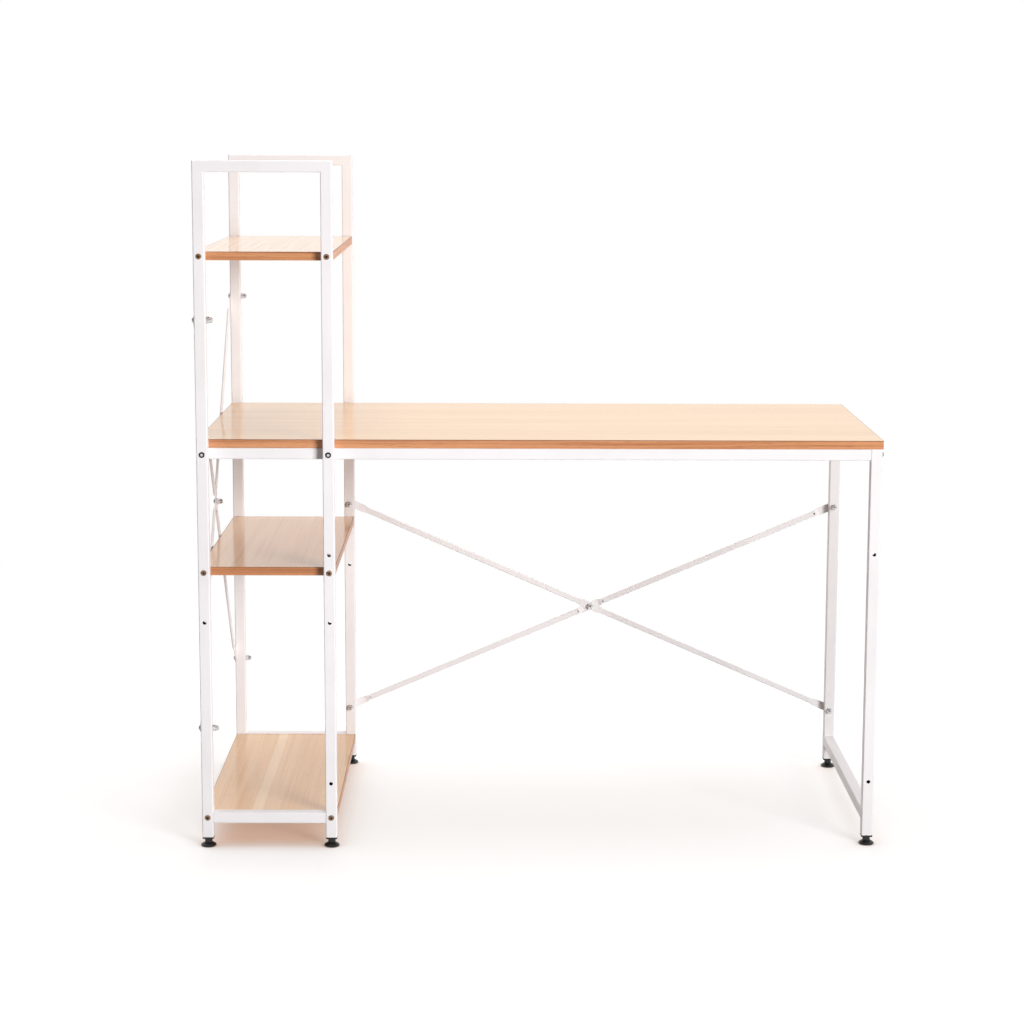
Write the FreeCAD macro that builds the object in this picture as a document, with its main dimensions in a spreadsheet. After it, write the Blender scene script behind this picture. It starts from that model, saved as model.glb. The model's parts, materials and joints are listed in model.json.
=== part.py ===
import FreeCAD, Part
import os
import re

import Sketcher

# A desk with a shelf tower at its left end, in millimetres: +X right, +Y back, +Z up.
# The origin is on the floor, in the middle of the whole desk. Places are worked out from
# the tower's front left corner, and place() moves them to the origin.

SIZES = {
    # Square steel tube of every frame
    "tube": 20,
    "tube_wall": 1.2,
    "tube_corner": 2,
    # Whole desk
    "tower_width": 240,
    "tower_height": 1214,
    "depth": 600,
    "desk_length": 1200,
    "desktop_height": 731,
    "desk_overhang": 1.5,
    "tube_lift": 18,
    # Boards, and how far the middle of each shelf's edge is from the tower's top, the
    # desktop's top, the shelf above it and the floor
    "board": 15,
    "edge_band": 0.8,
    "board_inset": 1,
    "top_shelf_drop": 164,
    "middle_shelf_drop": 234,
    "spare_shelf_drop": 89,
    "bottom_shelf_height": 54,
    # Brace bars, pressed from sheet: their bolts below the desktop's top and the top
    # shelf, and above the bottom shelf
    "rear_brace_drop": 202,
    "rear_brace_rise": 63,
    "side_brace_drop": 110,
    "side_brace_rise": 162,
    "brace_flat": 1.2,
    "brace_wall": 0.6,
    "brace_width": 11,
    "brace_depth": 4,
    "brace_flat_width": 15,
    "brace_tab": 31,
    "brace_middle": 34,
    "brace_runout": 7,
    "drain_hole": 4,
    # Bolts, nuts and inserts
    "bolt": 6,
    "bolt_hole": 6.6,
    "bolt_head": 3,
    "bolt_head_width": 10,
    "bolt_head_flat": 6,
    "bolt_head_rim": 1,
    "bolt_chamfer": 0.8,
    "bolt_spare": 1,
    "hex_key": 4,
    "hex_key_depth": 1.8,
    "nut_width": 10,
    "nut_height": 5,
    "cap_nut_hex": 5.5,
    "cap_nut_dome": 9.4,
    "cap_nut_height": 12,
    "cap_nut_bore": 9,
    "insert_width": 10,
    "insert_length": 13,
    "end_plate": 5,
    # Desktop screws
    "screw": 4,
    "screw_hole": 4.5,
    "screw_access": 10,
    "screw_head": 2.5,
    "screw_head_width": 8,
    "screw_bite": 10,
    "screw_margin": 120,
    # Plugs in the rails' left ends
    "rail_plug_flange": 1.5,
    # Levelling feet
    "foot_flange": 3,
    "foot_plug": 20,
    "foot_width": 27,
    "foot_rim": 3.5,
    "foot_rim_round": 1.5,
    "foot_base": 8,
    "foot_neck": 13.5,
    "stud": 8,
    "stud_seat": 4,
    "stud_length": 32,
    # Clearances
    "fit_clearance": 0.05,
    "thread_clearance": 0.05,
    "foot_clearance": 0.3,
}

# Places and sizes that follow from the driving dimensions
BORE = "(tube - 2 * tube_wall)"
RIGHT_X = "(tower_width - tube)"
BACK_Y = "(depth - tube)"
LEG_X = "(desk_length - desk_overhang - tube)"
LEG_BACK_Y = "(depth - 2 * tube)"
UPRIGHT_LENGTH = "(tower_height - tube_lift)"
LEG_LENGTH = "(desktop_height - board - tube_lift)"
LEG_SPAN = "(depth - 4 * tube)"
RAIL_X = "(board_inset + rail_plug_flange)"
RAIL_Z = "(desktop_height - board - tube)"
RAIL_LENGTH = f"({LEG_X} - {RAIL_X})"
RAIL_MIDDLE = f"({RAIL_Z} + tube / 2)"
RAIL_PLUG_LENGTH = f"(tube / 2 - bolt_hole / 2 - {RAIL_X})"
BAR_Z = "(bottom_shelf_height - tube / 2)"
TOP_SHELF_Z = "(tower_height - top_shelf_drop)"
MIDDLE_SHELF_Z = "(desktop_height - middle_shelf_drop)"
SPARE_SHELF_Z = f"({MIDDLE_SHELF_Z} - spare_shelf_drop)"
BOTTOM_SHELF_Z = "bottom_shelf_height"
REAR_BRACE_TOP = "(desktop_height - rear_brace_drop)"
REAR_BRACE_BOTTOM = "(bottom_shelf_height + rear_brace_rise)"
SIDE_BRACE_TOP = f"({TOP_SHELF_Z} - side_brace_drop)"
SIDE_BRACE_BOTTOM = "(bottom_shelf_height + side_brace_rise)"
SHELF_WIDTH = "(tower_width - 2 * board_inset)"
BOARD_DEPTH = "(depth - 2 * tube)"
DESKTOP_LENGTH = "(desk_length - board_inset)"
THREAD_BORE = "(bolt + 2 * thread_clearance)"
BRACE_FLAT = ("brace_flat", "brace_flat_width", "(brace_flat / 8)")
BRACE_OVAL = ("brace_depth", "brace_width", "(0.45 * brace_depth)")
BRACE_BORE = ("(brace_depth - 2 * brace_wall)", "(brace_width - 2 * brace_wall)", "(0.3 * brace_depth)")
REAR_RUN = f"({LEG_X} - {RIGHT_X})"
REAR_RISE = f"({REAR_BRACE_TOP} - {REAR_BRACE_BOTTOM})"
SIDE_RUN = "(depth - tube)"
SIDE_RISE = f"({SIDE_BRACE_TOP} - {SIDE_BRACE_BOTTOM})"

# The desk's ends: the crossed side braces' bolt, the leg's feet, the front feet and the rear bolts
LEFT_END = "(0 - 2 * brace_flat - bolt_head)"
RIGHT_END = f"({LEG_X} + tube / 2 + foot_width / 2)"
FRONT_END = "(tube / 2 - foot_width / 2)"
BACK_END = "(depth + brace_flat + bolt_head)"
ORIGIN_X = f"(({LEFT_END} + {RIGHT_END}) / 2)"
ORIGIN_Y = f"(({FRONT_END} + {BACK_END}) / 2)"

# Turns that point a piece's own +Z along the desk's axes
UP = "rotation(vector(0; 0; 1); 0)"
TO_BACK = "rotation(vector(1; 0; 0); -90)"
TO_FRONT = "rotation(vector(1; 0; 0); 90)"
TO_RIGHT = "rotation(vector(0; 1; 0); 90)"
TO_LEFT = "rotation(vector(0; 1; 0); -90)"

doc = FreeCAD.newDocument("desk")
sheet = doc.addObject("Spreadsheet::Sheet", "dims")
for row, (name, size) in enumerate(SIZES.items(), 1):
    sheet.set(f"A{row}", str(size))
    sheet.setAlias(f"A{row}", name)
doc.recompute()

nodes = []


def expr(text):
    """Expression text with the names of driving dimensions pointed at the sheet."""
    def point(match):
        return f"dims.{match[0]}" if match[0] in SIZES else match[0]
    return re.sub(r"[A-Za-z_]+", point, text)


def number(text):
    return float(sheet.evalExpression(expr(text)))


def place(piece, x, y, z, turn=UP):
    spot = f"vector({x} - {ORIGIN_X}; {y} - {ORIGIN_Y}; {z})"
    piece.setExpression("Placement", expr(f"placement({spot}; {turn})"))


def new_body(label):
    body = doc.addObject("PartDesign::Body", label)
    body.Label = label
    return body


def plane_of(body, role):
    return next(feature for feature in body.Origin.OriginFeatures if feature.Role == role)


def new_sketch(body, role, lift="0"):
    sketch = body.newObject("Sketcher::SketchObject", "sketch")
    sketch.AttachmentSupport = [(plane_of(body, role), "")]
    sketch.MapMode = "FlatFace"
    sketch.setExpression("AttachmentOffset.Base.z", expr(lift))
    return sketch


def bind(sketch, kind, geometry, text):
    index = sketch.addConstraint(Sketcher.Constraint(kind, *geometry, number(text)))
    sketch.setExpression(f"Constraints[{index}]", expr(text))


def fix_point(sketch, geometry, point, x, y):
    bind(sketch, "DistanceX", (-1, 1, geometry, point), x)
    bind(sketch, "DistanceY", (-1, 1, geometry, point), y)


def add_polygon(sketch, points):
    corners = [FreeCAD.Vector(number(x), number(y), 0) for x, y in points]
    lines = []
    for start, end in zip(corners, corners[1:] + corners[:1]):
        lines.append(sketch.addGeometry(Part.LineSegment(start, end)))
    for line, following, (x, y) in zip(lines, lines[1:] + lines[:1], points):
        sketch.addConstraint(Sketcher.Constraint("Coincident", line, 2, following, 1))
        fix_point(sketch, line, 1, x, y)


def add_rectangle(sketch, x0, y0, x1, y1):
    add_polygon(sketch, [(x0, y0), (x1, y0), (x1, y1), (x0, y1)])


def add_rounded_box(sketch, low, high, radius):
    """A rectangle between two corners, itself with rounded corners, lines and arcs in turn."""
    (left, bottom), (right, top) = low, high
    near_x, far_x = f"({left} + {radius})", f"({right} - {radius})"
    near_y, far_y = f"({bottom} + {radius})", f"({top} - {radius})"
    ends = [((near_x, bottom), (far_x, bottom)), ((right, near_y), (right, far_y)),
            ((far_x, top), (near_x, top)), ((left, far_y), (left, near_y))]
    centres = [(far_x, near_y), (far_x, far_y), (near_x, far_y), (near_x, near_y)]
    lines, arcs = [], []
    for turn, (line_ends, centre) in enumerate(zip(ends, centres)):
        start, end = (FreeCAD.Vector(number(x), number(y), 0) for x, y in line_ends)
        lines.append(sketch.addGeometry(Part.LineSegment(start, end)))
        middle = FreeCAD.Vector(number(centre[0]), number(centre[1]), 0)
        circle = Part.Circle(middle, FreeCAD.Vector(0, 0, 1), number(radius))
        quarter = FreeCAD.Units.parseQuantity("90 deg").getValueAs("rad").Value
        arcs.append(sketch.addGeometry(Part.ArcOfCircle(circle, (turn - 1) * quarter, turn * quarter)))
    for line, arc, following, line_ends in zip(lines, arcs, lines[1:] + lines[:1], ends):
        fix_point(sketch, line, 1, *line_ends[0])
        fix_point(sketch, line, 2, *line_ends[1])
        sketch.addConstraint(Sketcher.Constraint("Coincident", line, 2, arc, 1))
        sketch.addConstraint(Sketcher.Constraint("Coincident", arc, 2, following, 1))
        bind(sketch, "Radius", (arc,), radius)


def add_circles(sketch, centres, width):
    for x, y in centres:
        middle = FreeCAD.Vector(number(x), number(y), 0)
        circle = sketch.addGeometry(Part.Circle(middle, FreeCAD.Vector(0, 0, 1), number(width) / 2))
        fix_point(sketch, circle, 3, x, y)
        bind(sketch, "Diameter", (circle,), width)


def add_hexagon(sketch, flats):
    corner = f"({flats} / sqrt(3))"
    add_polygon(sketch, [(corner, "0"), (f"{corner} / 2", f"{flats} / 2"),
                         (f"-{corner} / 2", f"{flats} / 2"), (f"-{corner}", "0"),
                         (f"-{corner} / 2", f"-{flats} / 2"), (f"{corner} / 2", f"-{flats} / 2")])


def pad(body, sketch, length, back=False, symmetric=False):
    feature = body.newObject("PartDesign::Pad", "pad")
    feature.Profile = sketch
    feature.setExpression("Length", expr(length))
    feature.Reversed = back
    feature.SideType = "Symmetric" if symmetric else "One side"
    return feature


def cut_through(body, sketch):
    feature = body.newObject("PartDesign::Pocket", "cut")
    feature.Profile = sketch
    feature.Type = "ThroughAll"
    feature.SideType = "Symmetric"
    return feature


def cut_blind(body, sketch, length, back=False):
    feature = body.newObject("PartDesign::Pocket", "recess")
    feature.Profile = sketch
    feature.setExpression("Length", expr(length))
    feature.Reversed = back
    return feature


def revolve(body, points):
    """A turned piece about its own Z axis from (radius, height) points."""
    sketch = new_sketch(body, "XZ_Plane")
    add_polygon(sketch, points)
    feature = body.newObject("PartDesign::Revolution", "revolution")
    feature.Profile = sketch
    feature.ReferenceAxis = (sketch, ["V_Axis"])
    return feature


def mirror(body, feature, role):
    copy = body.newObject("PartDesign::Mirrored", "mirrored")
    copy.Originals = [feature]
    copy.MirrorPlane = (plane_of(body, role), [""])
    body.Tip = copy
    return copy


def drill(body, role, centres, width):
    sketch = new_sketch(body, role)
    add_circles(sketch, centres, width)
    cut_through(body, sketch)


def square_tube(label, role, length):
    """A length of the frame tube from its own origin: up, to the right or to the back."""
    body = new_body(label)
    sketch = new_sketch(body, role)
    add_rounded_box(sketch, ("0", "0"), ("tube", "tube"), "tube_corner")
    add_rectangle(sketch, "tube_wall", "tube_wall", "(tube - tube_wall)", "(tube - tube_wall)")
    pad(body, sketch, length, back=role == "XZ_Plane")
    return body


def cut_mitre(body, corners):
    sketch = new_sketch(body, "XZ_Plane")
    add_polygon(sketch, corners)
    cut_through(body, sketch)


def group(label, piece, spots):
    """One node of separate, identical solids: a link to the piece at each spot."""
    links = []
    for x, y, z, turn in spots:
        link = doc.addObject("App::Link", f"{label}_item")
        link.LinkedObject = piece
        place(link, x, y, z, turn)
        links.append(link)
    compound = doc.addObject("Part::Compound", label)
    compound.Label = label
    compound.Links = links
    nodes.append(compound)


# Tower frames: uprights, top bars and bottom bars

SHELF_HEIGHTS = [TOP_SHELF_Z, MIDDLE_SHELF_Z, BOTTOM_SHELF_Z]
TOWER_HOLES = SHELF_HEIGHTS + [SPARE_SHELF_Z, RAIL_MIDDLE]
REAR_BRACE_HOLES = [REAR_BRACE_TOP, REAR_BRACE_BOTTOM]
SIDE_BRACE_HOLES = [SIDE_BRACE_TOP, SIDE_BRACE_BOTTOM]


def upright(label, x, y, at_left):
    """An upright mitred at its top, drilled front to back and, at the left, for the side braces."""
    body = square_tube(label, "XY_Plane", UPRIGHT_LENGTH)
    low = f"({UPRIGHT_LENGTH} - tube)"
    inner, outer = ("tube", "0") if at_left else ("0", "tube")
    cut_mitre(body, [(inner, UPRIGHT_LENGTH), (outer, UPRIGHT_LENGTH), (inner, low)])
    through = TOWER_HOLES if at_left else TOWER_HOLES + REAR_BRACE_HOLES
    drill(body, "XZ_Plane", [("tube / 2", f"({z} - tube_lift)") for z in through], "bolt_hole")
    if at_left:
        sideways = [("tube / 2", f"({z} - tube_lift)") for z in SIDE_BRACE_HOLES]
        drill(body, "YZ_Plane", sideways, "bolt_hole")
    place(body, x, y, "tube_lift")
    nodes.append(body)


def top_bar(label, y):
    body = square_tube(label, "YZ_Plane", "tower_width")
    cut_mitre(body, [("0", "0"), ("tube", "0"), ("0", "tube")])
    cut_mitre(body, [("tower_width", "0"), ("tower_width", "tube"), (RIGHT_X, "0")])
    place(body, "0", y, "(tower_height - tube)")
    nodes.append(body)


def bottom_bar(label, y):
    body = square_tube(label, "YZ_Plane", "(tower_width - 2 * tube)")
    place(body, "tube", y, BAR_Z)
    nodes.append(body)


for side, y in (("front", "0"), ("rear", BACK_Y)):
    upright(f"{side}_left_upright", "0", y, at_left=True)
    upright(f"{side}_right_upright", RIGHT_X, y, at_left=False)
    top_bar(f"{side}_top_bar", y)
    bottom_bar(f"{side}_bottom_bar", y)

# Desk frame: rails under the desktop and the leg frame at the right

SCREW_XS = ["(tower_width + screw_margin)", f"((tower_width + {LEG_X}) / 2)", f"({LEG_X} - screw_margin)"]
SCREW_YS = ["(depth / 2 - screw_margin)", "(depth / 2 + screw_margin)"]
RAIL_YS = ["tube", "(depth - 2 * tube)"]
RAIL_BOLT_XS = ["(tube / 2)", f"({RIGHT_X} + tube / 2)"]
LEG_YS = [("front", "tube"), ("rear", LEG_BACK_Y)]


def screw_holes(body, centres):
    """Holes for the desktop's screws in the upper wall, with wider ones below that let them in."""
    drill(body, "XY_Plane", centres, "screw_hole")
    access = new_sketch(body, "XY_Plane")
    add_circles(access, centres, "screw_access")
    cut_blind(body, access, "(tube / 2)", back=True)


def rail(label, y):
    body = square_tube(label, "YZ_Plane", RAIL_LENGTH)
    drill(body, "XZ_Plane", [(f"({x} - {RAIL_X})", "tube / 2") for x in RAIL_BOLT_XS], "bolt_hole")
    screw_holes(body, [(f"({x} - {RAIL_X})", "tube / 2") for x in SCREW_XS])
    place(body, RAIL_X, y, RAIL_Z)
    nodes.append(body)


def leg_post(label, y):
    body = square_tube(label, "XY_Plane", LEG_LENGTH)
    drill(body, "XZ_Plane", [("tube / 2", f"({z} - tube_lift)") for z in REAR_BRACE_HOLES], "bolt_hole")
    drill(body, "YZ_Plane", [("tube / 2", f"({RAIL_MIDDLE} - tube_lift)")], "bolt_hole")
    place(body, LEG_X, y, "tube_lift")
    nodes.append(body)


def leg_bar(label, z, screw_ys):
    body = square_tube(label, "XZ_Plane", LEG_SPAN)
    if screw_ys:
        screw_holes(body, [("tube / 2", f"({y} - 2 * tube)") for y in screw_ys])
    place(body, LEG_X, "(2 * tube)", z)
    nodes.append(body)


rail("front_rail", RAIL_YS[0])
rail("rear_rail", RAIL_YS[1])
for side, y in LEG_YS:
    leg_post(f"leg_{side}_post", y)
leg_bar("leg_top_bar", RAIL_Z, SCREW_YS)
leg_bar("leg_bottom_bar", BAR_Z, [])


def rail_plug():
    body = new_body("rail_plug")
    flange = new_sketch(body, "YZ_Plane")
    add_rounded_box(flange, ("0", "0"), ("tube", "tube"), "tube_corner")
    pad(body, flange, "rail_plug_flange")
    plug = new_sketch(body, "YZ_Plane", "rail_plug_flange")
    near, far = "(tube_wall + fit_clearance)", "(tube - tube_wall - fit_clearance)"
    add_rectangle(plug, near, near, far, far)
    pad(body, plug, RAIL_PLUG_LENGTH)
    return body


def end_plate():
    body = new_body("end_plate")
    sketch = new_sketch(body, "YZ_Plane")
    near, far = "(tube_wall + fit_clearance)", "(tube - tube_wall - fit_clearance)"
    add_rectangle(sketch, near, near, far, far)
    add_circles(sketch, [("tube / 2", "tube / 2")], THREAD_BORE)
    pad(body, sketch, "end_plate")
    return body


group("rail_end_plugs", rail_plug(), [("board_inset", y, RAIL_Z, UP) for y in RAIL_YS])
group("rail_end_plates", end_plate(), [(f"({LEG_X} - end_plate)", y, RAIL_Z, UP) for y in RAIL_YS])

# Boards with their edge bands, measured from each board's own front left corner

INSERT_XS = ["(tube / 2 - board_inset)", f"({SHELF_WIDTH} - tube / 2 + board_inset)"]


def board_core(label, length):
    body = new_body(label)
    sketch = new_sketch(body, "XY_Plane")
    add_rectangle(sketch, "edge_band", "edge_band", f"({length} - edge_band)", f"({BOARD_DEPTH} - edge_band)")
    pad(body, sketch, "board")
    nodes.append(body)
    return body


def band_along(label, length, bolted):
    """An edge band along a board's front or rear, with holes for its threaded inserts."""
    body = new_body(label)
    sketch = new_sketch(body, "XY_Plane")
    add_rectangle(sketch, "0", "0", length, "edge_band")
    pad(body, sketch, "board")
    if bolted:
        centres = [(x, "board / 2") for x in INSERT_XS]
        drill(body, "XZ_Plane", centres, "(insert_width + 2 * fit_clearance)")
    return body


def band_across():
    body = new_body("band_across")
    sketch = new_sketch(body, "XY_Plane")
    add_rectangle(sketch, "0", "edge_band", "edge_band", f"({BOARD_DEPTH} - edge_band)")
    pad(body, sketch, "board")
    return body


def edge_bands(label, along, across, length, z):
    compound = doc.addObject("Part::Compound", label)
    compound.Label = label
    rear = f"(tube + {BOARD_DEPTH} - edge_band)"
    right = f"(board_inset + {length} - edge_band)"
    links = []
    for piece, x, y in ((along, "board_inset", "tube"), (along, "board_inset", rear),
                        (across, "board_inset", "tube"), (across, right, "tube")):
        link = doc.addObject("App::Link", f"{label}_item")
        link.LinkedObject = piece
        place(link, x, y, z)
        links.append(link)
    compound.Links = links
    nodes.append(compound)


def shelf(label, height, along, across):
    body = board_core(label, SHELF_WIDTH)
    centres = [(x, "board / 2") for x in INSERT_XS]
    front = new_sketch(body, "XZ_Plane")
    add_circles(front, centres, "(insert_width + 2 * fit_clearance)")
    cut_blind(body, front, "insert_length")
    rear = new_sketch(body, "XZ_Plane", f"-{BOARD_DEPTH}")
    add_circles(rear, centres, "(insert_width + 2 * fit_clearance)")
    cut_blind(body, rear, "insert_length", back=True)
    bottom = f"({height} - board / 2)"
    place(body, "board_inset", "tube", bottom)
    edge_bands(f"{label}_edge_bands", along, across, SHELF_WIDTH, bottom)


def desktop(across):
    body = board_core("desktop", DESKTOP_LENGTH)
    sketch = new_sketch(body, "XY_Plane")
    centres = [(f"({x} - board_inset)", f"({y} - tube / 2)") for x in SCREW_XS for y in RAIL_YS]
    leg_x = f"({LEG_X} + tube / 2 - board_inset)"
    centres += [(leg_x, f"({y} - tube)") for y in SCREW_YS]
    add_circles(sketch, centres, "(screw + 2 * thread_clearance)")
    cut_blind(body, sketch, "screw_bite", back=True)
    bottom = "(desktop_height - board)"
    place(body, "board_inset", "tube", bottom)
    along = band_along("desktop_band_along", DESKTOP_LENGTH, bolted=False)
    edge_bands("desktop_edge_bands", along, across, DESKTOP_LENGTH, bottom)


shelf_band = band_along("shelf_band_along", SHELF_WIDTH, bolted=True)
across_band = band_across()
desktop(across_band)
shelf("top_shelf", TOP_SHELF_Z, shelf_band, across_band)
shelf("middle_shelf", MIDDLE_SHELF_Z, shelf_band, across_band)
shelf("bottom_shelf", BOTTOM_SHELF_Z, shelf_band, across_band)

# Brace bars: oval tube pressed flat at both ends and in the middle


def brace_section(body, x, y, profile, bore=None):
    """A section across a bar at x, from y on to the back, by its height, width and rounding."""
    sketch = new_sketch(body, "YZ_Plane", x)
    for inset, (height, width, edge) in (("0", profile), ("brace_wall", bore)) if bore else (("0", profile),):
        low = (f"({y} + {inset})", f"(0 - {width} / 2)")
        add_rounded_box(sketch, low, (f"({y} + {inset} + {height})", f"({width} / 2)"), edge)
    return sketch


def loft(body, first, last):
    feature = body.newObject("PartDesign::AdditiveLoft", "loft")
    feature.Profile = first
    feature.Sections = [last]
    feature.Ruled = True


def slanted_pad(body, sketch, length, shift):
    """Pads along X and, over the same length, sideways by a shift along Y."""
    feature = pad(body, sketch, length)
    feature.UseCustomVector = True
    feature.AlongSketchNormal = True
    feature.Direction = FreeCAD.Vector(number(length), number(shift), 0)
    feature.setExpression("Direction.x", expr(f"({length}) / 1mm"))
    feature.setExpression("Direction.y", expr(f"({shift}) / 1mm"))


def brace_flat(body, near, far, y, bolt_x):
    """A pressed stretch of a bar, rounded about its bolt where that is at one of its ends."""
    sketch = new_sketch(body, "XZ_Plane", f"(0 - {y})")
    add_rectangle(sketch, near, "(0 - brace_flat_width / 2)", far, "(brace_flat_width / 2)")
    pad(body, sketch, "brace_flat", back=True)
    if bolt_x in (near, far):
        rounding = new_sketch(body, "XZ_Plane", f"(0 - {y})")
        add_circles(rounding, [(bolt_x, "0")], "brace_flat_width")
        pad(body, rounding, "brace_flat", back=True)


def brace_run(body, near, far, bulge, bulge_to_back):
    """Oval tube between two flats, given by x and y, which swells to one side of them."""
    tube_near = (f"({near[0]} + brace_runout)", f"({near[1]} + {bulge})")
    tube_far = (f"({far[0]} - brace_runout)", f"({far[1]} + {bulge})")
    loft(body, brace_section(body, *near, BRACE_FLAT), brace_section(body, *tube_near, BRACE_OVAL))
    slanted_pad(body, brace_section(body, *tube_near, BRACE_OVAL, BRACE_BORE),
                f"({tube_far[0]} - {tube_near[0]})", f"({far[1]} - {near[1]})")
    loft(body, brace_section(body, *tube_far, BRACE_OVAL), brace_section(body, *far, BRACE_FLAT))
    for (x, y), step in ((tube_near, "+"), (tube_far, "-")):
        sketch = new_sketch(body, "XZ_Plane", f"(0 - {y} - brace_depth / 2)")
        add_circles(sketch, [(f"({x} {step} 0.75 * drain_hole)", "0")], "drain_hole")
        cut_blind(body, sketch, "brace_depth", back=not bulge_to_back)


def brace(label, length, depths, bulge_to_back):
    """A bar along its own X from bolt to bolt, with its seats at the given depths along Y.

    Its tube swells to the back of the seats or to their front, and has its drain holes on that side.
    """
    body = new_body(label)
    half = f"({length} / 2)"
    bulge = "0" if bulge_to_back else "(brace_flat - brace_depth)"
    start, middle, end = depths
    flats = [("0", "brace_tab", start, "0"),
             (f"({half} - brace_middle / 2)", f"({half} + brace_middle / 2)", middle, half),
             (f"({length} - brace_tab)", length, end, length)]
    brace_flat(body, *flats[0])
    for before, after in zip(flats, flats[1:]):
        brace_run(body, (before[1], before[2]), (after[0], after[2]), bulge, bulge_to_back)
        brace_flat(body, *after)
    drill(body, "XZ_Plane", [("0", "0"), (half, "0"), (length, "0")], "bolt_hole")
    nodes.append(body)
    return body


REAR_LENGTH = f"sqrt({REAR_RUN} ^ 2 + {REAR_RISE} ^ 2)"
REAR_SLOPE = f"atan({REAR_RISE} / {REAR_RUN})"
SIDE_LENGTH = f"sqrt({SIDE_RUN} ^ 2 + {SIDE_RISE} ^ 2)"
SIDE_SLOPE = f"atan({SIDE_RISE} / {SIDE_RUN})"
UPRIGHT_MIDDLE_X = f"({RIGHT_X} + tube / 2)"
OUTWARD = "rotation(vector(0; 0; 1); 90)"

# The rear bars run from the right rear upright's back forward to the leg's back,
# and the rising one lies behind the other where they cross.
rear_depths = ("0", "(0 - tube / 2)", "(0 - tube)")
rear_depths_behind = ("0", "(brace_flat - tube / 2)", "(0 - tube)")
falling = brace("rear_falling_brace", REAR_LENGTH, rear_depths, bulge_to_back=True)
place(falling, UPRIGHT_MIDDLE_X, "depth", REAR_BRACE_TOP, f"rotation(vector(0; 1; 0); {REAR_SLOPE})")
rising = brace("rear_rising_brace", REAR_LENGTH, rear_depths_behind, bulge_to_back=False)
place(rising, UPRIGHT_MIDDLE_X, "depth", REAR_BRACE_BOTTOM, f"rotation(vector(0; 1; 0); -{REAR_SLOPE})")

# The side bars lie on the tower's outer left face and swell to the outside.
side_falling = brace("side_falling_brace", SIDE_LENGTH, ("0", "0", "0"), bulge_to_back=True)
place(side_falling, "0", "(tube / 2)", SIDE_BRACE_TOP,
      f"rotation(vector(1; 0; 0); -{SIDE_SLOPE}) * {OUTWARD}")
side_rising = brace("side_rising_brace", SIDE_LENGTH, ("0", "brace_flat", "0"), bulge_to_back=True)
place(side_rising, "0", "(tube / 2)", SIDE_BRACE_BOTTOM,
      f"rotation(vector(1; 0; 0); {SIDE_SLOPE}) * {OUTWARD}")

# Bolts, nuts, inserts and screws, each pointing along its own +Z from its seat


def bolt(label, length):
    """A button-head bolt with a hexagon socket."""
    body = new_body(label)
    head, shank = "(bolt_head_width / 2)", "(bolt / 2)"
    revolve(body, [("0", "-bolt_head"), ("bolt_head_flat / 2", "-bolt_head"), (head, "-bolt_head_rim"),
                   (head, "0"), (shank, "0"), (shank, f"({length} - bolt_chamfer)"),
                   (f"({shank} - bolt_chamfer)", length), ("0", length)])
    socket = new_sketch(body, "XY_Plane", "-bolt_head")
    add_hexagon(socket, "hex_key")
    cut_blind(body, socket, "hex_key_depth", back=True)
    return body


def hex_nut():
    body = new_body("hex_nut")
    sketch = new_sketch(body, "XY_Plane")
    add_hexagon(sketch, "nut_width")
    add_circles(sketch, [("0", "0")], THREAD_BORE)
    pad(body, sketch, "nut_height")
    return body


def cap_nut():
    body = new_body("cap_nut")
    flats = new_sketch(body, "XY_Plane")
    add_hexagon(flats, "nut_width")
    pad(body, flats, "cap_nut_hex")
    collar = new_sketch(body, "XY_Plane")
    add_circles(collar, [("0", "0")], "cap_nut_dome")
    pad(body, collar, "(cap_nut_height - cap_nut_dome / 2)")
    dome = body.newObject("PartDesign::AdditiveSphere", "dome")
    dome.setExpression("Radius", expr("cap_nut_dome / 2"))
    dome.setExpression("Placement.Base.z", expr("cap_nut_height - cap_nut_dome / 2"))
    bore = new_sketch(body, "XY_Plane")
    add_circles(bore, [("0", "0")], THREAD_BORE)
    cut_blind(body, bore, "cap_nut_bore", back=True)
    return body


def insert():
    body = new_body("insert")
    sketch = new_sketch(body, "XY_Plane")
    add_circles(sketch, [("0", "0")], "insert_width")
    add_circles(sketch, [("0", "0")], THREAD_BORE)
    pad(body, sketch, "insert_length")
    return body


def screw():
    body = new_body("screw")
    head, shank = "(screw_head_width / 2)", "(screw / 2)"
    tip = "(tube_wall + screw_bite - bolt_spare)"
    revolve(body, [("0", "-screw_head"), (shank, "-screw_head"), (head, "(0 - screw_head / 2)"), (head, "0"),
                   (shank, "0"), (shank, f"({tip} - screw)"), ("0", tip)])
    return body


tower_bolt_spots = []
insert_spots = []
for height in SHELF_HEIGHTS:
    for x in RAIL_BOLT_XS:
        tower_bolt_spots += [(x, "0", height, TO_BACK), (x, "depth", height, TO_FRONT)]
        insert_spots += [(x, "tube", height, TO_BACK), (x, BACK_Y, height, TO_FRONT)]
group("shelf_bolts", bolt("shelf_bolt", "(tube + insert_length - bolt_spare)"), tower_bolt_spots)
group("shelf_inserts", insert(), insert_spots)

rail_bolt_spots = []
rail_nut_spots = []
for x in RAIL_BOLT_XS:
    rail_bolt_spots += [(x, "0", RAIL_MIDDLE, TO_BACK), (x, "depth", RAIL_MIDDLE, TO_FRONT)]
    rail_nut_spots += [(x, "(2 * tube)", RAIL_MIDDLE, TO_BACK), (x, LEG_BACK_Y, RAIL_MIDDLE, TO_FRONT)]
group("rail_bolts", bolt("rail_bolt", "(2 * tube + nut_height + bolt_spare)"), rail_bolt_spots)
group("rail_nuts", hex_nut(), rail_nut_spots)

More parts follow.
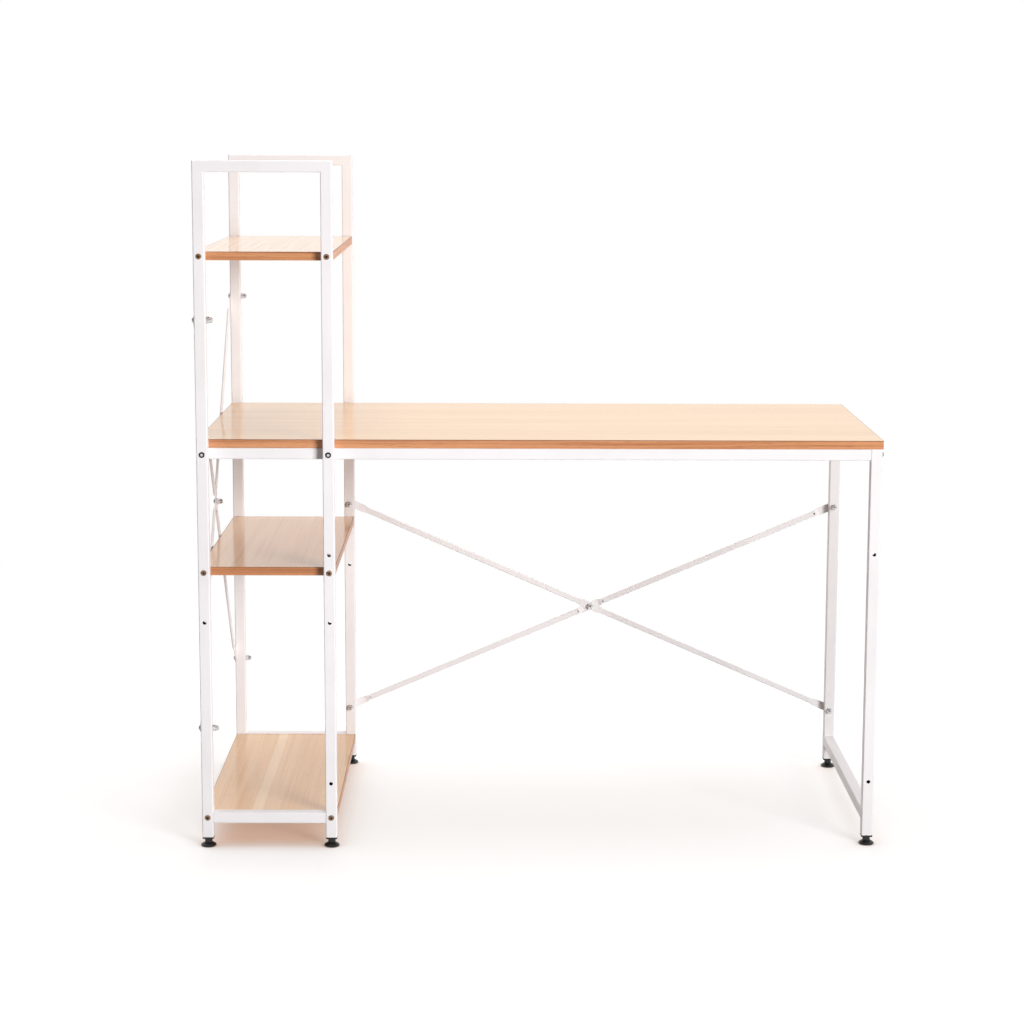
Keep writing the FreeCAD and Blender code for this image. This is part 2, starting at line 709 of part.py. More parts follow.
LEG_RIGHT_X = f"({LEG_X} + tube)"
leg_bolt_spots = [(LEG_RIGHT_X, f"({y} + tube / 2)", RAIL_MIDDLE, TO_LEFT) for _, y in LEG_YS]
group("leg_bolts", bolt("leg_bolt", "(tube + end_plate + bolt_spare)"), leg_bolt_spots)

LEG_MIDDLE_X = f"({LEG_X} + tube / 2)"
REAR_SEAT = "(depth + brace_flat)"
LEG_SEAT = f"({BACK_Y} + brace_flat)"
SIDE_SEAT = "(0 - brace_flat)"
POST_YS = ["(tube / 2)", "(depth - tube / 2)"]
brace_bolt_spots = []
cap_nut_spots = []
for z in REAR_BRACE_HOLES:
    brace_bolt_spots += [(UPRIGHT_MIDDLE_X, REAR_SEAT, z, TO_FRONT), (LEG_MIDDLE_X, LEG_SEAT, z, TO_FRONT)]
    cap_nut_spots += [(UPRIGHT_MIDDLE_X, BACK_Y, z, TO_FRONT), (LEG_MIDDLE_X, LEG_BACK_Y, z, TO_FRONT)]
for z in SIDE_BRACE_HOLES:
    brace_bolt_spots += [(SIDE_SEAT, y, z, TO_RIGHT) for y in POST_YS]
    cap_nut_spots += [("tube", y, z, TO_RIGHT) for y in POST_YS]
group("brace_bolts", bolt("brace_bolt", "(brace_flat + tube + cap_nut_bore - bolt_spare)"), brace_bolt_spots)
cap = cap_nut()
group("brace_cap_nuts", cap, cap_nut_spots)

# Where two bars cross, a short bolt goes through both, with its nut inside.
REAR_CROSS = (f"(({UPRIGHT_MIDDLE_X} + {LEG_MIDDLE_X}) / 2)",
              f"(({REAR_BRACE_TOP} + {REAR_BRACE_BOTTOM}) / 2)")
SIDE_CROSS = ("(depth / 2)", f"(({SIDE_BRACE_TOP} + {SIDE_BRACE_BOTTOM}) / 2)")
REAR_CROSS_Y = "(depth - tube / 2)"
crossing_bolt_spots = [
    (REAR_CROSS[0], f"({REAR_CROSS_Y} + 2 * brace_flat)", REAR_CROSS[1], TO_FRONT),
    ("(0 - 2 * brace_flat)", SIDE_CROSS[0], SIDE_CROSS[1], TO_RIGHT)]
crossing_nut_spots = [
    (REAR_CROSS[0], REAR_CROSS_Y, REAR_CROSS[1], TO_FRONT),
    ("0", SIDE_CROSS[0], SIDE_CROSS[1], TO_RIGHT)]
crossing_bolt = bolt("crossing_bolt", "(2 * brace_flat + cap_nut_bore - bolt_spare)")
group("brace_crossing_bolts", crossing_bolt, crossing_bolt_spots)
group("brace_crossing_nuts", cap, crossing_nut_spots)

SCREW_SEAT = f"({RAIL_Z} + tube - tube_wall)"
screw_spots = [(x, f"({y} + tube / 2)", SCREW_SEAT, UP) for x in SCREW_XS for y in RAIL_YS]
screw_spots += [(LEG_MIDDLE_X, y, SCREW_SEAT, UP) for y in SCREW_YS]
group("desktop_screws", screw(), screw_spots)

# Levelling feet: a threaded plug in each post's lower end, and a stud in a flared pad

FEET = {
    "front_left": ("(tube / 2)", "(tube / 2)"),
    "front_right": (UPRIGHT_MIDDLE_X, "(tube / 2)"),
    "rear_left": ("(tube / 2)", "(depth - tube / 2)"),
    "rear_right": (UPRIGHT_MIDDLE_X, "(depth - tube / 2)"),
    "leg_front": (LEG_MIDDLE_X, "(3 * tube / 2)"),
    "leg_rear": (LEG_MIDDLE_X, "(depth - 3 * tube / 2)"),
}


def foot_socket():
    body = new_body("foot_socket")
    flange = new_sketch(body, "XY_Plane", "(0 - foot_flange)")
    add_rounded_box(flange, ("0", "0"), ("tube", "tube"), "tube_corner")
    pad(body, flange, "foot_flange")
    plug = new_sketch(body, "XY_Plane")
    near, far = "(tube_wall + fit_clearance)", "(tube - tube_wall - fit_clearance)"
    add_rectangle(plug, near, near, far, far)
    pad(body, plug, "foot_plug")
    drill(body, "XY_Plane", [("tube / 2", "tube / 2")], "(stud + 2 * thread_clearance)")
    return body


def foot_pad(label, x, y):
    body = new_body(label)
    rim, neck, bore = "(foot_width / 2)", "(foot_neck / 2)", "(stud / 2 + thread_clearance)"
    top = "(tube_lift - foot_flange - foot_clearance)"
    revolve(body, [("0", "0"), (f"({rim} - foot_rim_round)", "0"), (rim, "foot_rim_round"), (rim, "foot_rim"),
                   (neck, "foot_base"), (neck, top), (bore, top), (bore, "stud_seat"), ("0", "stud_seat")])
    place(body, x, y, "0")
    nodes.append(body)


def foot_stud(label, x, y):
    body = new_body(label)
    revolve(body, [("0", "0"), ("stud / 2", "0"), ("stud / 2", "(stud_length - bolt_chamfer)"),
                   ("(stud / 2 - bolt_chamfer)", "stud_length"), ("0", "stud_length")])
    place(body, x, y, "stud_seat")
    nodes.append(body)


socket_spots = [(f"({x} - tube / 2)", f"({y} - tube / 2)", "tube_lift", UP) for x, y in FEET.values()]
group("foot_sockets", foot_socket(), socket_spots)
for post, (x, y) in FEET.items():
    foot_pad(f"foot_pad_{post}", x, y)
    foot_stud(f"foot_stud_{post}", x, y)

# Every piece is checked before any is written.

doc.recompute()
for thing in doc.Objects:
    if "Invalid" in thing.State or "Error" in thing.State:
        raise RuntimeError(f"{thing.Label} failed: {thing.State}")
    if thing.TypeId == "PartDesign::Pocket" and thing.Shape.Volume > thing.BaseFeature.Shape.Volume - 0.1:
        raise RuntimeError(f"{thing.Label} cuts nothing")
for node in nodes:
    if node.Shape.isNull() or not node.Shape.isValid():
        raise RuntimeError(f"{node.Label} has no valid shape")

os.makedirs("parts", exist_ok=True)
for node in nodes:
    node.Shape.exportStep(f"parts/{node.Label}.step")
print(f"{len(nodes)} pieces written")
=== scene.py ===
import json
import math

import bpy
from mathutils import Matrix, Vector


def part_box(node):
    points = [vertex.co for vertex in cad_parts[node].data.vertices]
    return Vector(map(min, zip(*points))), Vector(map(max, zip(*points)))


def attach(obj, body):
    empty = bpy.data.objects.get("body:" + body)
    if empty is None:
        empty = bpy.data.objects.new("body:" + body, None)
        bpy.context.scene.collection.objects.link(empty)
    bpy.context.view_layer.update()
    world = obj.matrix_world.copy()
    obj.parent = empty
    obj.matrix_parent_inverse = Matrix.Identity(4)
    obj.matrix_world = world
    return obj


# A desk with a shelf tower at its left end, in metres: +X right, +Y back, +Z up.

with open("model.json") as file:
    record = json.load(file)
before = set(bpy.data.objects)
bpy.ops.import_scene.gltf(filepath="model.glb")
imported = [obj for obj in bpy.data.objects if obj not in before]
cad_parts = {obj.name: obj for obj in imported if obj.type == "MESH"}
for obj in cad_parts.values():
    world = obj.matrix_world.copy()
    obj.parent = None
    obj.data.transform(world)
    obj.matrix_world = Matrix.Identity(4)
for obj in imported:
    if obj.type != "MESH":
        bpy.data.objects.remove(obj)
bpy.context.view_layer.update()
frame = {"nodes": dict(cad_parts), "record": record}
scene = bpy.context.scene

# The tower's front left corner on the floor, from which the desk's sizes are measured
CORNER = Vector((-0.5983, -0.30035, 0.0))


class Nodes:
    """Adds shader nodes to one material, or to the world's tree, and links them."""

    def __init__(self, name, world_tree=None):
        self.material = None
        self.tree = world_tree
        if world_tree is None:
            self.material = bpy.data.materials.new(name)
            self.material.use_nodes = True
            self.tree = self.material.node_tree
        self.tree.nodes.clear()
        self.output = self.tree.nodes.new("ShaderNodeOutput" + ("World" if world_tree else "Material"))

    def add(self, kind, settings=None, **inputs):
        """A new node of a kind, with its settings and the values or links of its inputs."""
        node = self.tree.nodes.new("ShaderNode" + kind)
        for key, value in (settings or {}).items():
            setattr(node, key, value)
        for key, value in inputs.items():
            self.join(value, self.socket(node, key))
        return node

    def socket(self, node, key):
        """An input by its name with underscores for spaces, or by its number, as in_1."""
        if key.startswith("in_"):
            return node.inputs[int(key[3:])]
        return node.inputs[key.replace("_", " ")]

    def join(self, value, socket):
        if hasattr(value, "outputs"):
            value = value.outputs[0]
        if isinstance(value, bpy.types.NodeSocket):
            self.tree.links.new(value, socket)
        else:
            socket.default_value = value

    def math(self, operation, *values):
        node = self.tree.nodes.new("ShaderNodeMath")
        node.operation = operation
        for value, socket in zip(values, node.inputs):
            self.join(value, socket)
        return node.outputs[0]

    def vector(self, operation, first, second):
        return self.add("VectorMath", {"operation": operation}, in_0=first, in_1=second)

    def length(self, vector):
        return self.add("VectorMath", {"operation": "LENGTH"}, in_0=vector).outputs["Value"]

    def noise(self, vector, detail=2.0, roughness=0.5, scale=1.0):
        return self.add("TexNoise", Vector=vector, Scale=scale, Detail=detail,
                        Roughness=roughness).outputs["Fac"]

    def step(self, value, low, high, to_low=0.0, to_high=1.0):
        """A smooth step from one level to another while the value goes from low to high."""
        return self.add("MapRange", {"interpolation_type": "SMOOTHSTEP"}, in_0=value,
                        in_1=low, in_2=high, in_3=to_low, in_4=to_high).outputs[0]

    def nearest(self, value, places):
        """How far a value is from the nearest of some places."""
        gaps = [self.math("ABSOLUTE", self.math("SUBTRACT", value, spot)) for spot in places]
        least = gaps[0]
        for gap in gaps[1:]:
            least = self.math("MINIMUM", least, gap)
        return least

    def mix(self, factor, first, second, blend="MIX"):
        """Two colours mixed; the Mix node's colour sockets are its inputs 6 and 7 and its output 2."""
        node = self.tree.nodes.new("ShaderNodeMix")
        node.data_type = "RGBA"
        node.blend_type = blend
        self.join(factor, node.inputs["Factor"])
        self.join(first, node.inputs[6])
        self.join(second, node.inputs[7])
        return node.outputs[2]

    def finish(self, shader):
        self.tree.links.new(shader.outputs[0], self.output.inputs["Surface"])
        return self.material


def rgb(red, green, blue):
    """A colour written as it shows on screen, 0 to 255, as linear light."""
    def linear(part):
        part /= 255
        return part / 12.92 if part <= 0.04045 else ((part + 0.055) / 1.055) ** 2.4
    return (linear(red), linear(green), linear(blue), 1)


def middle_of(node):
    low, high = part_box(node)
    return (Vector(low) + Vector(high)) / 2


WHITE = (1, 1, 1, 1)
# Levels of a noise between which a tint or a roughness changes, and the detail of the clouds
CLOUD_EDGES = (0.35, 0.70)
CLOUD_DETAIL = 3.0
NOISE_SPAN = (0.2, 0.8)

# Powder coat: scales of its noises per metre, roughness, strength and depth of the orange peel
COAT, COAT_SHADE = rgb(238, 235, 237), rgb(233, 230, 232)
COAT_CLOUDS, COAT_PEEL = 9.0, 700.0
COAT_GLOSS = (0.34, 0.46)
PEEL_STRENGTH, PEEL_DEPTH = 0.03, 0.0002
# Inside this half width a post is bare steel, painted near black for the shade inside its bore
POST_BORE = 0.0091
BARE_STEEL_AND_BORE_SHADE = rgb(40, 36, 36)


def powder_coat(name, post=None):
    """White powder coat: satin, with a fine orange peel and a faint unevenness.

    The bore of an upright post, seen through its spare holes, is bare steel, painted near black for the
    shade inside the tube.
    """
    nodes = Nodes(name)
    place = nodes.add("TexCoord").outputs["Object"]
    cloud = nodes.noise(place, detail=CLOUD_DETAIL, scale=COAT_CLOUDS)
    peel = nodes.noise(place, scale=COAT_PEEL)
    tint = nodes.mix(nodes.step(cloud, *CLOUD_EDGES), COAT, COAT_SHADE)
    rough = nodes.step(peel, *NOISE_SPAN, *COAT_GLOSS)
    if post:
        off = nodes.add("SeparateXYZ", Vector=nodes.vector("SUBTRACT", place, middle_of(post))).outputs
        widest = nodes.math("MAXIMUM", nodes.math("ABSOLUTE", off["X"]), nodes.math("ABSOLUTE", off["Y"]))
        # Painted shade: inside the bore the post is near black
        tint = nodes.mix(nodes.math("LESS_THAN", widest, POST_BORE), tint, BARE_STEEL_AND_BORE_SHADE)
    bump = nodes.add("Bump", Strength=PEEL_STRENGTH, Distance=PEEL_DEPTH, Height=peel)
    return nodes.finish(nodes.add("BsdfPrincipled", Base_Color=tint, Roughness=rough, Normal=bump))


# Wood tones, each from pale to deepest
DESK_TONES = (rgb(238, 193, 136), rgb(230, 181, 118), rgb(204, 147, 88), rgb(150, 97, 54))
SHELF_TONES = (rgb(235, 192, 147), rgb(227, 180, 130), rgb(201, 146, 98), rgb(148, 97, 62))
EDGE_TONES = (rgb(219, 156, 112), rgb(198, 135, 92), rgb(150, 91, 57), rgb(106, 60, 35))
SAPWOOD = rgb(247, 216, 176)
SAPWOOD_SHARE = 0.6
SAPWOOD_EDGE = 0.003
# How strongly the dark lines show, and the roughness between and on the fibres
BOARD_LINES, EDGE_LINES = 0.30, 0.62
BOARD_GLOSS = (0.09, 0.16)
EDGE_GLOSS = (0.32, 0.46)
# A dark line along the top of each edge strip: its width, and how far it goes towards the deepest tone
TOP_LINE_WIDTH = 0.0016
TOP_LINE_SHARE = 0.8
# Streaks in the wood: rates along and across the fibres per metre, detail and roughness
SWAY_STREAKS = (1.6, 5.0, 1.0, 0.5)
FIGURE = (0.7, 11.0, 2.0, 0.5)
STRIPES = (1.2, 75.0, 3.0, 0.5)
FIBRES = (2.5, 330.0, 3.0, 0.6)
PORES = (36.0, 1500.0, 2.0, 0.5)
# Levels of those streaks between which the tone changes
FIGURE_EDGES = (0.32, 0.68)
STRIPE_EDGES = (0.45, 0.75)
FIBRE_EDGES = (0.42, 0.75)
FIBRE_SPAN = (0.25, 0.75)
PORE_EDGES = (0.55, 0.75)
# How far the grain sways aside, and the relief of its fibres and pores
SWAY = 0.014
PORE_SINK = -0.6
GRAIN_STRENGTH, GRAIN_DEPTH = 0.06, 0.0002


class Wood:
    """Grain patterns in a board's own lengths along and across its fibres, in metres."""

    def __init__(self, nodes, along, across, seed):
        self.nodes = nodes
        self.along, self.across, self.seed = along, across, seed
        sway = self.streaks(*SWAY_STREAKS)
        self.across = nodes.math("MULTIPLY_ADD", nodes.math("SUBTRACT", sway, 0.5), SWAY, across)

    def streaks(self, along_rate, across_rate, detail, roughness):
        """Noise drawn out along the fibres."""
        nodes = self.nodes
        spot = nodes.add("CombineXYZ", X=nodes.math("MULTIPLY", self.along, along_rate),
                         Y=nodes.math("MULTIPLY", self.across, across_rate), Z=self.seed)
        return nodes.noise(spot, detail, roughness)

    def band(self, low, high, edge):
        """One between two places across the board, with wavy edges."""
        nodes = self.nodes
        return nodes.math("MULTIPLY", nodes.step(self.across, low - edge, low + edge),
                          nodes.step(self.across, high - edge, high + edge, 1.0, 0.0))


def wood_shader(nodes, wood, tones, lines, sapwood, gloss):
    """Laminate printed as wood, from its tones, the strength of its lines and its roughness.

    Sapwood gives the places across the board between which pale stripes lie.
    """
    pale, middle, dark, deep = tones
    fine = wood.streaks(*FIBRES)
    pores = wood.streaks(*PORES)
    colour = nodes.mix(nodes.step(wood.streaks(*FIGURE), *FIGURE_EDGES), pale, middle)
    for streak, edges in ((wood.streaks(*STRIPES), STRIPE_EDGES), (fine, FIBRE_EDGES)):
        colour = nodes.mix(nodes.math("MULTIPLY", nodes.step(streak, *edges), lines), colour, dark)
    for low, high in sapwood:
        share = nodes.math("MULTIPLY", wood.band(low, high, SAPWOOD_EDGE), SAPWOOD_SHARE)
        colour = nodes.mix(share, colour, SAPWOOD)
    colour = nodes.mix(nodes.math("MULTIPLY", nodes.step(pores, *PORE_EDGES), lines), colour, deep)
    rough = nodes.step(fine, *FIBRE_SPAN, *gloss)
    height = nodes.math("MULTIPLY_ADD", pores, PORE_SINK, fine)
    bump = nodes.add("Bump", Strength=GRAIN_STRENGTH, Distance=GRAIN_DEPTH, Height=height)
    return nodes.finish(nodes.add("BsdfPrincipled", Base_Color=colour, Roughness=rough, Normal=bump))


def board_laminate(name, tones, seed, along_x=False, sapwood=()):
    """A board's faces, with the grain along X or Y.

    Places along and across are measured from the tower's front left corner.
    """
    nodes = Nodes(name)
    place = nodes.vector("SUBTRACT", nodes.add("TexCoord").outputs["Object"], CORNER)
    parts = nodes.add("SeparateXYZ", Vector=place).outputs
    along, across = (parts["X"], parts["Y"]) if along_x else (parts["Y"], parts["X"])
    return wood_shader(nodes, Wood(nodes, along, across, seed), tones, BOARD_LINES, sapwood, BOARD_GLOSS)


def edge_laminate(board, seed):
    """A board's glued edge strips, with a dark line along their top.

    The grain runs along each edge: along Y on the strips that face sideways, else along X.
    """
    nodes = Nodes(board + "_edge_laminate")
    parts = nodes.add("SeparateXYZ", Vector=nodes.add("TexCoord").outputs["Object"]).outputs
    normal = nodes.add("SeparateXYZ", Vector=nodes.add("NewGeometry").outputs["Normal"]).outputs
    sideways = nodes.math("GREATER_THAN", nodes.math("ABSOLUTE", normal["X"]), 0.5)
    along = nodes.add("Mix", {"data_type": "FLOAT"}, in_0=sideways,
                      in_2=parts["X"], in_3=parts["Y"]).outputs[0]
    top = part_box(board)[1][2]
    pale, middle, dark, deep = EDGE_TONES
    # Darker towards the deepest tone in a thin line along the top of each strip
    top_line = nodes.step(parts["Z"], top - TOP_LINE_WIDTH, top - TOP_LINE_WIDTH / 2, 0.0, TOP_LINE_SHARE)
    tones = [nodes.mix(top_line, tone, deep) for tone in (pale, middle, dark)] + [deep]
    return wood_shader(nodes, Wood(nodes, along, parts["Z"], seed), tones, EDGE_LINES, (), EDGE_GLOSS)


# Metal: scales of its clouds and marks per metre, how dull its clouds are, and its rougher places
METAL_CLOUDS, METAL_MARKS = 260.0, 2600.0
DULL_SHARE = 0.72
METAL_ROUGHER = 0.15
MARK_DEPTH = 0.0001
# The painted middle of a bolt head (shade in a socket, a glint on a dome) ends between these shares of
# its width from the axis
HEAD_EDGES = (0.45, 0.55)


def metal(name, colour, roughness, scratch, heads=None):
    """Plated metal with fine turned marks and a cloudy gloss.

    Heads are the bolts' places along X and Z, with the width and colour of the painted middle of each:
    shade in a socket, a glint on a dome.
    """
    nodes = Nodes(name)
    place = nodes.add("TexCoord").outputs["Object"]
    cloud = nodes.noise(place, detail=CLOUD_DETAIL, scale=METAL_CLOUDS)
    fine = nodes.noise(place, scale=METAL_MARKS)
    dull = tuple(part * DULL_SHARE for part in colour[:3]) + (1,)
    tint = nodes.mix(nodes.step(cloud, *CLOUD_EDGES), colour, dull)
    if heads:
        across, heights, width, painted_middle = heads
        parts = nodes.add("SeparateXYZ", Vector=place).outputs
        off = nodes.add("CombineXYZ", X=nodes.nearest(parts["X"], across),
                        Z=nodes.nearest(parts["Z"], heights))
        inner, outer = [width * share for share in HEAD_EDGES]
        # The middle of each head gets painted light: shade in a socket, a glint on a dome
        tint = nodes.mix(nodes.step(nodes.length(off), inner, outer), painted_middle, tint)
    rough = nodes.step(cloud, *NOISE_SPAN, roughness, roughness + METAL_ROUGHER)
    bump = nodes.add("Bump", Strength=scratch, Distance=MARK_DEPTH, Height=fine)
    return nodes.finish(nodes.add("BsdfPrincipled", Base_Color=tint, Metallic=1.0,
                                  Roughness=rough, Normal=bump))


# Plastic: scales of its grain and clouds per metre, and how much paler its worn places are
PLASTIC_GRAIN, PLASTIC_CLOUDS = 1800.0, 120.0
WORN_GAIN, WORN_LIFT = 1.5, 0.008
WORN_EDGES = (0.45, 0.75)
PLASTIC_ROUGHER = 0.14
PLASTIC_BUMP = 0.2


def moulded_plastic(name, colour, roughness):
    """Plastic with the fine grain of a mould and slightly worn places."""
    nodes = Nodes(name)
    place = nodes.add("TexCoord").outputs["Object"]
    grain = nodes.noise(place, scale=PLASTIC_GRAIN)
    cloud = nodes.noise(place, scale=PLASTIC_CLOUDS)
    worn = tuple(min(part * WORN_GAIN + WORN_LIFT, 1) for part in colour[:3]) + (1,)
    tint = nodes.mix(nodes.step(cloud, *WORN_EDGES), colour, worn)
    rough = nodes.step(grain, *NOISE_SPAN, roughness, roughness + PLASTIC_ROUGHER)
    bump = nodes.add("Bump", Strength=PLASTIC_BUMP, Distance=MARK_DEPTH, Height=grain)
    return nodes.finish(nodes.add("BsdfPrincipled", Base_Color=tint, Roughness=rough, Normal=bump))


# Materials of the record's slots, and of the nodes that have one of their own

BOARDS = ("desktop", "top_shelf", "middle_shelf", "bottom_shelf")
POSTS = ("front_left_upright", "front_right_upright", "rear_left_upright", "rear_right_upright",
         "leg_front_post", "leg_rear_post")
BOLT_XS = [middle_of(post).x for post in POSTS[:2]]
SHELF_HEIGHTS = [middle_of(board).z for board in BOARDS[1:]]
RAIL_HEIGHT = middle_of("front_rail").z
# Widths of the painted middles of bolt heads: shade in the shelf bolts' hex sockets, a glint on the rail
# bolts
SOCKET_SHADE_WIDTH, PAINTED_GLINT_WIDTH = 0.0042, 0.0050
BOTTOM_SAPWOOD = [(0.086, 0.104)]
FIRST_EDGE_SEED = 6.0

SLOT_MATERIALS = {
    "white_steel": powder_coat("white_powder_coat"),
    "zinc": metal("zinc_plate", rgb(170, 170, 172), roughness=0.24, scratch=0.12),
    "bright_nut": metal("bright_plate", rgb(226, 226, 228), roughness=0.09, scratch=0.06),
    # The shelf bolts' heads get painted shade in the middle, where their hex sockets are
    "brassed_bolt": metal("brassed_steel", rgb(164, 134, 108), roughness=0.30, scratch=0.15,
                          heads=(BOLT_XS, SHELF_HEIGHTS, SOCKET_SHADE_WIDTH, rgb(74, 54, 42))),
    "black_plastic": moulded_plastic("black_plastic", rgb(20, 19, 20), roughness=0.30),
    "white_plastic": moulded_plastic("white_plastic", rgb(232, 231, 230), roughness=0.42),
}
NODE_MATERIALS = {
    "desktop": board_laminate("desktop_laminate", DESK_TONES, seed=1.0, along_x=True),
    "top_shelf": board_laminate("top_shelf_laminate", SHELF_TONES, seed=2.0),
    "middle_shelf": board_laminate("middle_shelf_laminate", SHELF_TONES, seed=3.0),
    "bottom_shelf": board_laminate("bottom_shelf_laminate", SHELF_TONES, seed=4.0,
                                   sapwood=BOTTOM_SAPWOOD),
    # The rail bolts' heads get a painted glint in the middle
    "rail_bolts": metal("dark_zinc_plate", rgb(48, 46, 48), roughness=0.22, scratch=0.12,
                        heads=(BOLT_XS, [RAIL_HEIGHT], PAINTED_GLINT_WIDTH, rgb(232, 232, 234))),
}
for number, board in enumerate(BOARDS):
    NODE_MATERIALS[board + "_edge_bands"] = edge_laminate(board, FIRST_EDGE_SEED + number)
for post in POSTS:
    NODE_MATERIALS[post] = powder_coat(post + "_powder_coat", post)


def dress(node, material):
    mesh = frame["nodes"][node].data
    mesh.materials.clear()
    mesh.materials.append(material)


for subpart in frame["record"]["subparts"]:
    node, slot = subpart["node"], subpart["material_slot"]
    dress(node, NODE_MATERIALS.get(node) or SLOT_MATERIALS[slot])

# Stage: a white floor that runs out into a white world

FLOOR_SIZE = 60.0
FLOOR_LIFT = 0.585
FLOOR_SHOWN = 0.46
FLOOR_FADE = (0.9, 3.0)
FLOOR_PALE = rgb(158, 152, 148)
FLOOR_GLOW = (1.0, 0.985, 0.975, 1)
# Shade under the bottom shelf, and right at the feet: its reach, its tint, and the shares of open sky
# between which it fades out
CONTACT_REACH = 0.085
CONTACT_TINT = (0.73, 0.43, 0.28, 1)
CONTACT_EDGES = (0.05, 0.95)
TOUCH_REACH = 0.015
TOUCH_TINT = (0.50, 0.46, 0.43, 1)
TOUCH_EDGES = (0.20, 0.95)


def floor_material():
    """Pale floor that keeps the desk's shadow near it and turns plain white further out.

    The camera and gloss see it lifted towards white, except close under the bottom shelf and the feet.
    """
    nodes = Nodes("studio_floor")
    seen = nodes.add("LightPath").outputs
    looked = nodes.math("MAXIMUM", seen["Is Camera Ray"], seen["Is Glossy Ray"])
    cover = nodes.add("AmbientOcclusion", Distance=CONTACT_REACH).outputs["AO"]
    contact = nodes.mix(nodes.step(cover, *CONTACT_EDGES), CONTACT_TINT, WHITE)
    touch = nodes.add("AmbientOcclusion", Distance=TOUCH_REACH).outputs["AO"]
    contact = nodes.mix(nodes.step(touch, *TOUCH_EDGES), TOUCH_TINT, contact)
    lift = nodes.math("MULTIPLY", looked, FLOOR_LIFT)
    glow = nodes.add("Emission", Color=nodes.mix(1.0, FLOOR_GLOW, contact, "MULTIPLY"), Strength=lift)
    shown = nodes.mix(1.0, (FLOOR_SHOWN, FLOOR_SHOWN, FLOOR_SHOWN, 1), contact, "MULTIPLY")
    lit = nodes.add("BsdfDiffuse", Color=nodes.mix(looked, FLOOR_PALE, shown))
    near = nodes.add("AddShader", in_0=lit, in_1=glow)
    away = nodes.length(nodes.add("TexCoord").outputs["Object"])
    fade = nodes.math("MULTIPLY", nodes.step(away, *FLOOR_FADE), looked)
    white = nodes.add("Emission", Color=WHITE, Strength=1.0)
    return nodes.finish(nodes.add("MixShader", in_0=fade, in_1=near, in_2=white))


mesh = bpy.data.meshes.new("studio_floor")
half = FLOOR_SIZE / 2
mesh.from_pydata([(-half, -half, 0), (half, -half, 0), (half, half, 0), (-half, half, 0)],
                 [], [(0, 1, 2, 3)])
floor = bpy.data.objects.new("studio_floor", mesh)
scene.collection.objects.link(floor)
mesh.materials.append(floor_material())
# It follows a foot, so that it isn't pierced when all the feet are screwed out together
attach(floor, "foot_rear_left")

# The backdrop's and the room's bright sides, and the cosines to them between which a level changes
AMBIENT_TINT = (1.0, 0.985, 0.98, 1)
AMBIENT_LOW, AMBIENT_REAR = 0.05, 0.95
AMBIENT_EDGES = (-0.1, 0.4)
REAR_SIDE = (-0.25, 0.95, 0.20)
GLOSS_LOW, GLOSS_HIGH = 0.20, 1.0
GLOSS_EDGES = (-0.55, 0.35)
GLOSS_SIDE = (0.60, 0.62, 0.50)


def studio_world():
    """A white backdrop's light from behind; gloss sees white, but for a darker room at the left front.

    The camera sees plain white.
    """
    world = bpy.data.worlds.new("studio")
    world.use_nodes = True
    nodes = Nodes("studio_world", world.node_tree)
    seen = nodes.add("LightPath").outputs
    way = nodes.add("TexCoord").outputs["Generated"]

    def towards(side, edges, low, high):
        return nodes.step(nodes.vector("DOT_PRODUCT", way, side).outputs["Value"], *edges, low, high)

    level = towards(REAR_SIDE, AMBIENT_EDGES, AMBIENT_LOW, AMBIENT_REAR)
    ambient = nodes.add("Background", Color=AMBIENT_TINT, Strength=level)
    level = towards(GLOSS_SIDE, GLOSS_EDGES, GLOSS_LOW, GLOSS_HIGH)
    room = nodes.add("Background", Color=WHITE, Strength=level)
    white = nodes.add("Background", Color=WHITE, Strength=1.0)
    glossy = nodes.add("MixShader", in_0=seen["Is Glossy Ray"], in_1=ambient, in_2=room)
    nodes.finish(nodes.add("MixShader", in_0=seen["Is Camera Ray"], in_1=glossy, in_2=white))
    return world


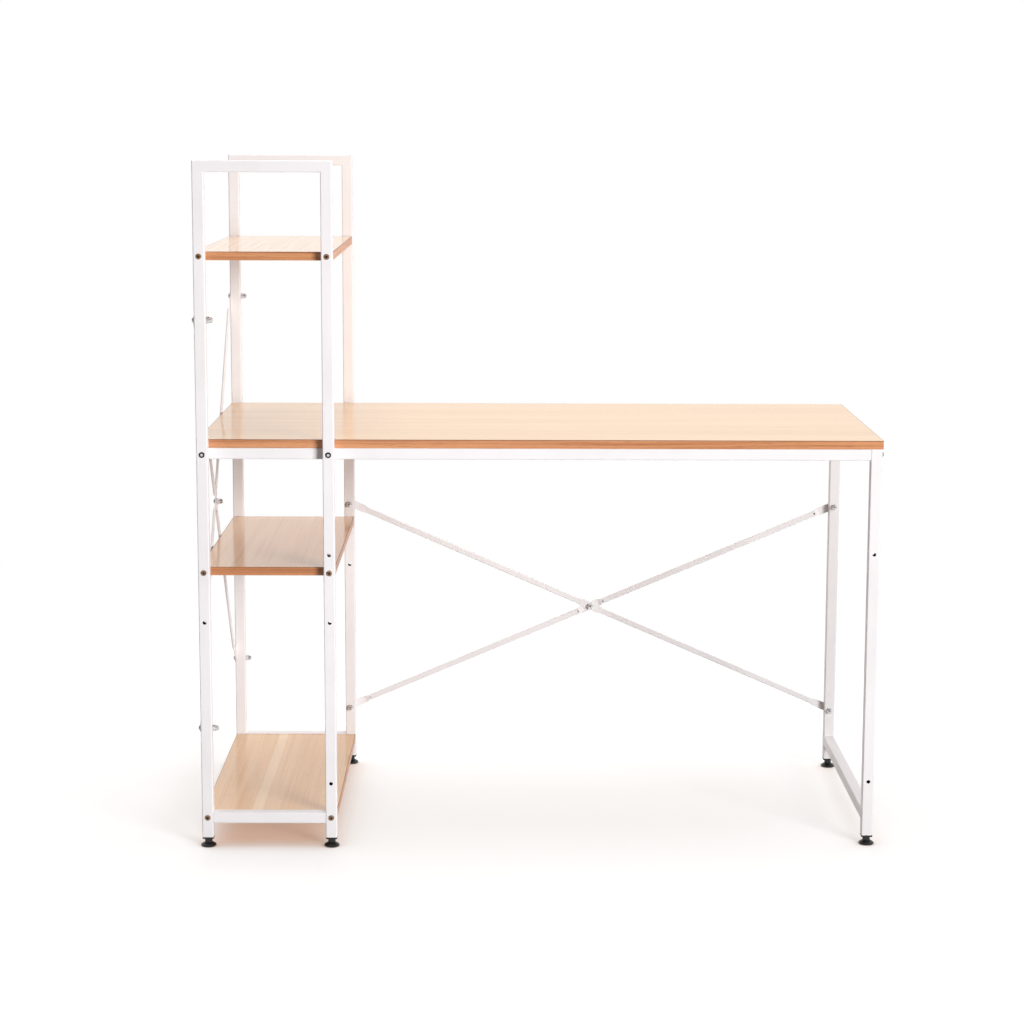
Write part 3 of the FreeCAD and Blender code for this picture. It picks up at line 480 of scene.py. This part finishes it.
scene.world = studio_world()


def softbox(name, place, target, width, height, power, spread=180):
    """A soft lamp aimed at a point, with its beam's spread in degrees.

    Gloss shows the white room instead of it.
    """
    data = bpy.data.lights.new(name, "AREA")
    data.shape = "RECTANGLE"
    data.size = width
    data.size_y = height
    data.energy = power
    data.spread = math.radians(spread)
    lamp = bpy.data.objects.new(name, data)
    scene.collection.objects.link(lamp)
    lamp.location = place
    lamp.rotation_mode = "QUATERNION"
    lamp.rotation_quaternion = (Vector(target) - Vector(place)).to_track_quat("-Z", "Y")
    lamp.visible_glossy = False


# The main lamp is aimed at the tower, so that the desk's nearer right end isn't lit more
softbox("main_softbox", (2.90, -4.75, 1.55), (-0.75, -0.30, 0.62),
        width=2.0, height=2.2, power=64, spread=72)
softbox("top_softbox", (0.2, 0.1, 3.6), (0.2, 0.1, 0.0), width=3.0, height=2.0, power=46)
softbox("rear_softbox", (-0.5, 6.5, 3.0), (0.0, 0.0, 0.6), width=3.0, height=2.0, power=160)

# Camera at the photograph's place, for a picture 1024 pixels square

PICTURE = 1024
SENSOR_WIDTH = 36
FOCAL_PIXELS = 2499.6
CAMERA_PLACE = Vector((0.53379, -4.31270, 1.29396)) + CORNER
YAW, PITCH, ROLL = 0.0038, 0.1580, -0.0031

camera_data = bpy.data.cameras.new("camera")
camera_data.sensor_width = SENSOR_WIDTH
camera_data.lens = FOCAL_PIXELS * SENSOR_WIDTH / PICTURE
camera = bpy.data.objects.new("camera", camera_data)
scene.collection.objects.link(camera)
forward = Vector((math.sin(YAW) * math.cos(PITCH), math.cos(YAW) * math.cos(PITCH), -math.sin(PITCH)))
level = Vector((math.cos(YAW), -math.sin(YAW), 0))
down = forward.cross(level)
right = math.cos(ROLL) * level + math.sin(ROLL) * down
up = -(math.cos(ROLL) * down - math.sin(ROLL) * level)
turn = Matrix((right, up, -forward)).transposed()
camera.matrix_world = Matrix.Translation(CAMERA_PLACE) @ turn.to_4x4()
scene.camera = camera
scene.view_settings.view_transform = "Standard"
